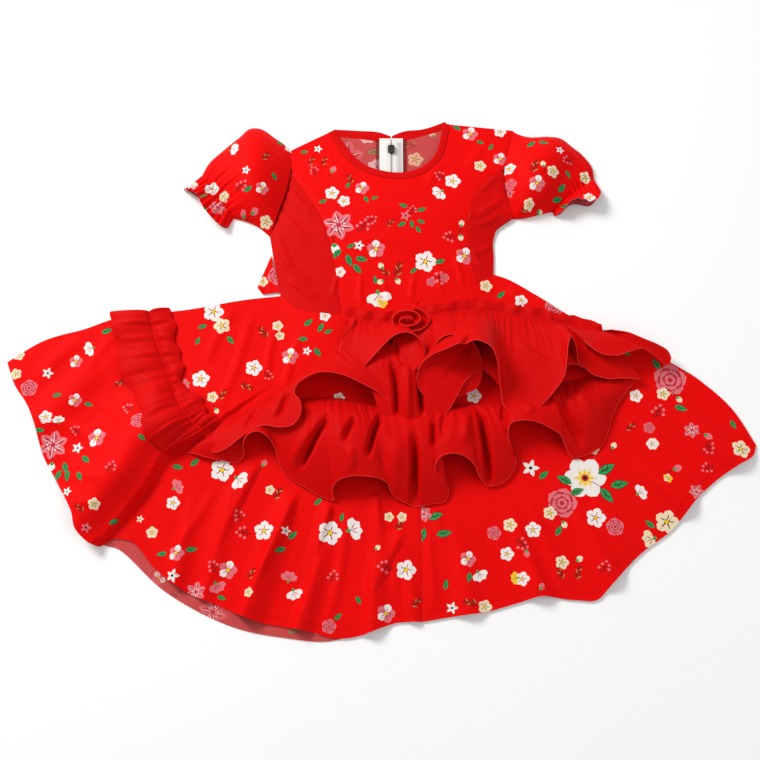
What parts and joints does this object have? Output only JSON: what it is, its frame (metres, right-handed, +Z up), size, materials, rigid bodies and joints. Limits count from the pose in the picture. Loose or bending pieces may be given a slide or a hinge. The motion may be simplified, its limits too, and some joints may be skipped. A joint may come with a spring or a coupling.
{
  "type": "baby folk dress",
  "caption": "Short-sleeved baby dress laid flat: princess bodice, back zip, puff sleeves, circle skirt, and ruffles falling from a waist rosette.",
  "frame": {"origin": "middle of the bounding box on the floor the dress lies on", "axes": "+X across the dress to the picture's right, +Y from hem to neck, +Z up out of the front"},
  "size_m": [0.742, 0.5492, 0.0581],
  "materials": {
    "print_cloth": "matt woven cotton, red with a small flower print",
    "plain_cloth": "matt woven cotton, plain red",
    "zip_tape": "white knitted tape",
    "zip_slider": "black lacquer",
    "zip_pull": "black lacquer"
  },
  "bodies": {
    "dress": {"front_centre": "print_cloth", "bodice_back_left": "print_cloth", "bodice_back_right": "print_cloth", "sleeve_left": "print_cloth", "sleeve_right": "print_cloth", "skirt_front_left": "print_cloth", "skirt_front_right": "print_cloth", "skirt_back": "print_cloth", "waist_tie_left": "print_cloth", "front_side_left": "plain_cloth", "front_side_right": "plain_cloth", "neck_binding_front": "plain_cloth", "neck_binding_back_left": "plain_cloth", "neck_binding_back_right": "plain_cloth", "ruffle_upper": "plain_cloth", "ruffle_middle": "plain_cloth", "ruffle_lower": "plain_cloth", "ruffle_side": "plain_cloth", "rosette": "plain_cloth", "zip_tape_left": "zip_tape", "zip_tape_right": "zip_tape", "zip_slider": "zip_slider"},
    "pull": {"zip_pull": "zip_pull"}
  },
  "joints": [
    {"name": "pull_hinge", "type": "hinge", "parent": "dress", "child": "pull", "pos_m": [0.015, 0.2371, 0.0019], "axis": [1, 0, 0], "range_deg": [0, 140]}
  ]
}
